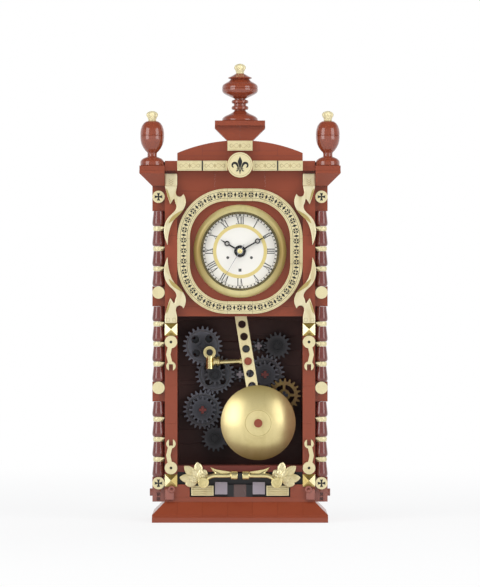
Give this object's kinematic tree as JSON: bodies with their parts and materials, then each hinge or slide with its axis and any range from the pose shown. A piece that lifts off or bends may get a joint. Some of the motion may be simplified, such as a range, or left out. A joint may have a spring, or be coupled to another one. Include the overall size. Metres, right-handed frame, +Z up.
{
  "type": "gear clock",
  "caption": "Brick-built mantel clock with columns, finials, a round quartz dial and an open window showing meshing gears, a crank link and a swinging pendulum.",
  "frame": {"origin": "middle of the base's underside", "axes": "+Z up, the front looks along -Y, +X to the viewer's right"},
  "size_m": [0.128, 0.072, 0.2929],
  "materials": {
    "brown": "glossy moulded plastic, reddish brown",
    "dark_brown": "glossy moulded plastic, dark red brown",
    "back_brown": "glossy moulded plastic, very dark brown",
    "black": "satin moulded plastic, black",
    "cream_gold": "pearl gold moulded plastic",
    "gold": "metallic gold lacquer on plastic",
    "grey": "satin moulded plastic, dark bluish grey",
    "light_grey": "glossy moulded plastic, light grey",
    "axle_red": "glossy moulded plastic, red brown",
    "bezel_brass": "polished brass",
    "dial_white": "white lacquer with black print",
    "hand_black": "black lacquer",
    "hand_steel": "thin steel with a gilt cap",
    "clear": "clear mineral glass",
    "can": "black moulded plastic",
    "cell_steel": "bright steel"
  },
  "bodies": {
    "case": {"base_plate": "brown", "base_slopes": "brown", "plinth_bricks": "brown", "plinth_core": "black", "grille_tiles": "cream_gold", "pale_tiles": "light_grey", "left_side_wall": "brown", "right_side_wall": "brown", "back_wall": "back_brown", "stiles": "brown", "rails": "brown", "dial_panel": "brown", "column_blocks": "brown", "round_tiles": "cream_gold", "column_barrels": "dark_brown", "column_bands": "cream_gold", "cornice": "brown", "cornice_tiles": "cream_gold", "roof_plates": "brown", "pediment": "brown", "finials": "brown", "finial_crowns": "gold", "stile_scrolls": "cream_gold", "stile_spanners": "cream_gold", "leaf_sprays": "cream_gold", "horns": "gold", "dial_ring_tiles": "cream_gold", "bezel": "bezel_brass", "crystal": "clear", "dial": "dial_white", "insert_can": "can", "movement": "black", "battery_cell": "cell_steel", "cell_cover": "can"},
    "hour": {"hour_hand": "hand_black"},
    "minute": {"minute_hand": "hand_black"},
    "second": {"second_hand": "hand_steel"},
    "setter": {"set_knob": "grey"},
    "crank": {"crank_wheel": "grey", "crank_arbor": "grey"},
    "left_gears": {"left_wheel": "grey", "left_pinion": "black"},
    "centre_gear": {"centre_pinion": "black", "centre_arbor": "light_grey"},
    "right_gears": {"right_wheels": "grey", "right_arbor": "axle_red"},
    "upper_gear": {"upper_wheel": "black"},
    "top_gear": {"top_pinion": "black", "top_arbor": "light_grey"},
    "lower_gears": {"lower_wheels": "grey", "lower_arbor": "axle_red"},
    "foot_gear": {"foot_wheel": "black"},
    "escape_gear": {"escape_wheel": "gold", "escape_arbor": "grey"},
    "link": {"link_eye": "gold", "link_bar": "gold"},
    "pendulum": {"pendulum_rod": "gold", "bob": "gold", "pendulum_pins": "brown"}
  },
  "joints": [
    {"name": "crank_turn", "type": "hinge", "parent": "case", "child": "crank", "pos_m": [-0.02415, 0, 0.11189], "axis": [0, -1, 0], "range_deg": [-138, 20]},
    {"name": "link_turn", "type": "hinge", "parent": "crank", "child": "link", "pos_m": [-0.0196, 0, 0.10783], "axis": [0, -1, 0], "range_deg": [-20.05, 138.05]},
    {"name": "pendulum_swing", "type": "hinge", "parent": "case", "child": "pendulum", "pos_m": [0, 0, 0.1339], "axis": [0, -1, 0], "range_deg": [-19.51, 2.87]},
    {"name": "left_turn", "type": "hinge", "parent": "case", "child": "left_gears", "pos_m": [-0.01615, 0, 0.0934], "axis": [0, -1, 0], "range_deg": [-13.38, 92.05]},
    {"name": "centre_turn", "type": "hinge", "parent": "case", "child": "centre_gear", "pos_m": [0, 0, 0.0934], "axis": [0, -1, 0], "range_deg": [-276.05, 40.05]},
    {"name": "right_turn", "type": "hinge", "parent": "case", "child": "right_gears", "pos_m": [0.01615, 0, 0.0934], "axis": [0, -1, 0], "range_deg": [-13.38, 92.05]},
    {"name": "upper_turn", "type": "hinge", "parent": "case", "child": "upper_gear", "pos_m": [0.02415, 0, 0.11189], "axis": [0, -1, 0], "range_deg": [-138.05, 20.05]},
    {"name": "top_turn", "type": "hinge", "parent": "case", "child": "top_gear", "pos_m": [0.012, 0, 0.11189], "axis": [0, -1, 0], "range_deg": [-40.05, 276.05]},
    {"name": "lower_turn", "type": "hinge", "parent": "case", "child": "lower_gears", "pos_m": [-0.02415, 0, 0.07061], "axis": [0, -1, 0], "range_deg": [-92.05, 13.38]},
    {"name": "foot_turn", "type": "hinge", "parent": "case", "child": "foot_gear", "pos_m": [-0.01615, 0, 0.05212], "axis": [0, -1, 0], "range_deg": [-20.05, 138.05]},
    {"name": "escape_turn", "type": "hinge", "parent": "case", "child": "escape_gear", "pos_m": [0.02853, 0, 0.08013], "axis": [0, -1, 0], "range_deg": [-73.65, 10.72]},
    {"name": "minute_turn", "type": "hinge", "parent": "case", "child": "minute", "pos_m": [0, 0, 0.1728], "axis": [0, 1, 0], "continuous": true},
    {"name": "hour_turn", "type": "hinge", "parent": "case", "child": "hour", "pos_m": [0, 0, 0.1728], "axis": [0, 1, 0], "continuous": true},
    {"name": "knob_turn", "type": "hinge", "parent": "case", "child": "setter", "pos_m": [0, 0, 0.1728], "axis": [0, 1, 0], "continuous": true},
    {"name": "second_turn", "type": "hinge", "parent": "case", "child": "second", "pos_m": [0, 0, 0.1728], "axis": [0, 1, 0], "continuous": true}
  ],
  "couplings": [
    {"joint": "link_turn", "follows": "crank_turn", "ratio": -1},
    {"joint": "pendulum_swing", "follows": "crank_turn", "ratio": 0.141},
    {"joint": "left_turn", "follows": "crank_turn", "ratio": -0.66667},
    {"joint": "centre_turn", "follows": "crank_turn", "ratio": 2},
    {"joint": "right_turn", "follows": "crank_turn", "ratio": -0.66667},
    {"joint": "upper_turn", "follows": "crank_turn", "ratio": 1},
    {"joint": "top_turn", "follows": "crank_turn", "ratio": -2},
    {"joint": "lower_turn", "follows": "crank_turn", "ratio": 0.66667},
    {"joint": "foot_turn", "follows": "crank_turn", "ratio": -1},
    {"joint": "escape_turn", "follows": "crank_turn", "ratio": 0.53333},
    {"joint": "hour_turn", "follows": "minute_turn", "ratio": 0.083333},
    {"joint": "knob_turn", "follows": "minute_turn", "ratio": 1}
  ]
}
